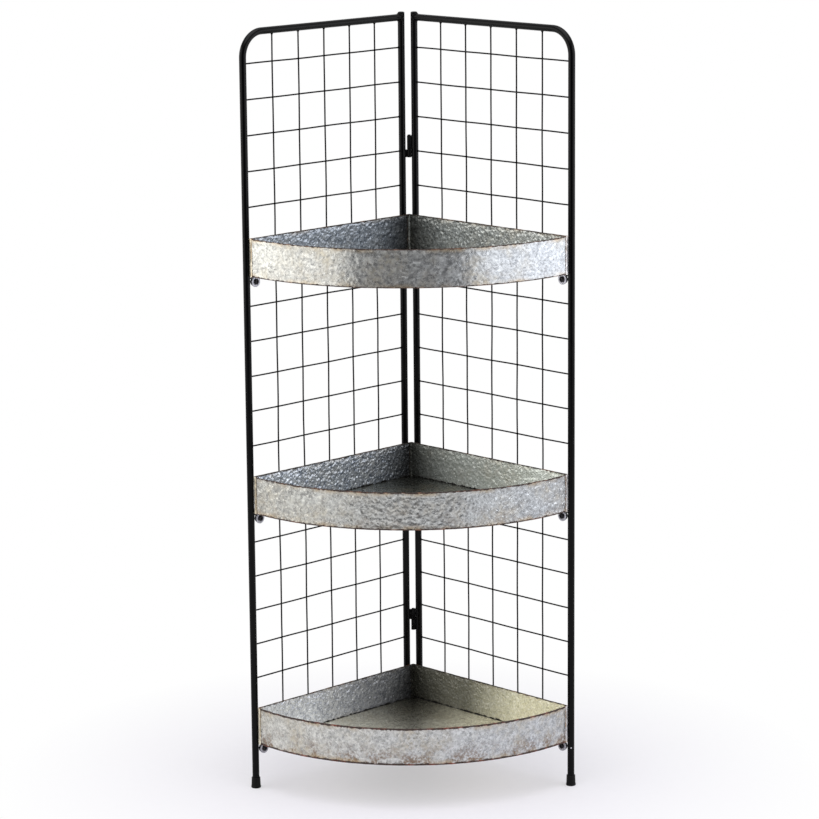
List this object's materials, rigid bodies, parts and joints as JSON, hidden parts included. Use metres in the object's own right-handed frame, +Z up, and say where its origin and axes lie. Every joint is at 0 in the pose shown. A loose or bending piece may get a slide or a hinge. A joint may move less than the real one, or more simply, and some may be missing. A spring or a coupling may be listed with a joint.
{
  "type": "corner shelf unit",
  "caption": "Folding corner shelf unit: hinged wire grid panels in black tube frames carry bow-fronted galvanised sheet trays on pegs.",
  "frame": {"origin": "on the floor, at the middle of the footprint of the whole unit", "axes": "+Z up, -Y towards the bowed fronts of the trays, +X to the right seen from the front; the back corner is at +Y"},
  "size_m": [0.5982, 0.4289, 1.4],
  "materials": {
    "black_frame": "satin powder coat",
    "black_wire": "satin powder coat",
    "black_rubber": "matte moulded",
    "galvanised_sheet": "hammered, spangled and aged, rust along raw edges",
    "zinc_ring": "zinc plated",
    "black_screw": "blackened steel"
  },
  "bodies": {
    "left_panel": {"left_outer_tube": "black_frame", "left_back_post": "black_frame", "left_post_cap": "black_frame", "left_low_rail": "black_frame", "left_wire_grid": "black_wire", "left_front_foot": "black_rubber", "left_back_foot": "black_rubber", "left_bottom_peg_boss": "black_frame", "left_bottom_peg_ring": "zinc_ring", "left_bottom_peg_screw": "black_screw", "left_bottom_rear_ledge": "black_frame", "left_middle_peg_boss": "black_frame", "left_middle_peg_ring": "zinc_ring", "left_middle_peg_screw": "black_screw", "left_middle_rear_ledge": "black_frame", "left_top_peg_boss": "black_frame", "left_top_peg_ring": "zinc_ring", "left_top_peg_screw": "black_screw", "left_top_rear_ledge": "black_frame", "upper_hinge_left_knuckle": "black_frame", "upper_hinge_pin": "black_frame", "lower_hinge_left_knuckle": "black_frame", "lower_hinge_pin": "black_frame"},
    "right_panel": {"right_outer_tube": "black_frame", "right_back_post": "black_frame", "right_post_cap": "black_frame", "right_low_rail": "black_frame", "right_wire_grid": "black_wire", "right_front_foot": "black_rubber", "right_back_foot": "black_rubber", "right_bottom_peg_boss": "black_frame", "right_bottom_peg_ring": "zinc_ring", "right_bottom_peg_screw": "black_screw", "right_bottom_rear_ledge": "black_frame", "right_middle_peg_boss": "black_frame", "right_middle_peg_ring": "zinc_ring", "right_middle_peg_screw": "black_screw", "right_middle_rear_ledge": "black_frame", "right_top_peg_boss": "black_frame", "right_top_peg_ring": "zinc_ring", "right_top_peg_screw": "black_screw", "right_top_rear_ledge": "black_frame", "upper_hinge_right_knuckle": "black_frame", "lower_hinge_right_knuckle": "black_frame"},
    "bottom_tray": {"bottom_tray_left_wall": "galvanised_sheet", "bottom_tray_right_wall": "galvanised_sheet", "bottom_tray_front_wall": "galvanised_sheet", "bottom_tray_floor": "galvanised_sheet"},
    "middle_tray": {"middle_tray_left_wall": "galvanised_sheet", "middle_tray_right_wall": "galvanised_sheet", "middle_tray_front_wall": "galvanised_sheet", "middle_tray_floor": "galvanised_sheet"},
    "top_tray": {"top_tray_left_wall": "galvanised_sheet", "top_tray_right_wall": "galvanised_sheet", "top_tray_front_wall": "galvanised_sheet", "top_tray_floor": "galvanised_sheet"}
  },
  "joints": [
    {"name": "panel_fold", "type": "hinge", "parent": "left_panel", "child": "right_panel", "pos_m": [0.0011, 0.20548, 0.7], "axis": [0, 0, -1], "range_deg": [0, 79]},
    {"name": "bottom_tray_lift_out", "type": "slide", "parent": "left_panel", "child": "bottom_tray", "axis": [-0.7071, -0.7071, 0], "range_m": [0, 0.595]},
    {"name": "middle_tray_lift_out", "type": "slide", "parent": "left_panel", "child": "middle_tray", "axis": [-0.7071, -0.7071, 0], "range_m": [0, 0.595]},
    {"name": "top_tray_lift_out", "type": "slide", "parent": "left_panel", "child": "top_tray", "axis": [-0.7071, -0.7071, 0], "range_m": [0, 0.595]}
  ],
  "couplings": [
    {"joint": "bottom_tray_lift_out", "follows": "panel_fold", "m_per_rad": 0.43},
    {"joint": "middle_tray_lift_out", "follows": "panel_fold", "m_per_rad": 0.43},
    {"joint": "top_tray_lift_out", "follows": "panel_fold", "m_per_rad": 0.43}
  ]
}
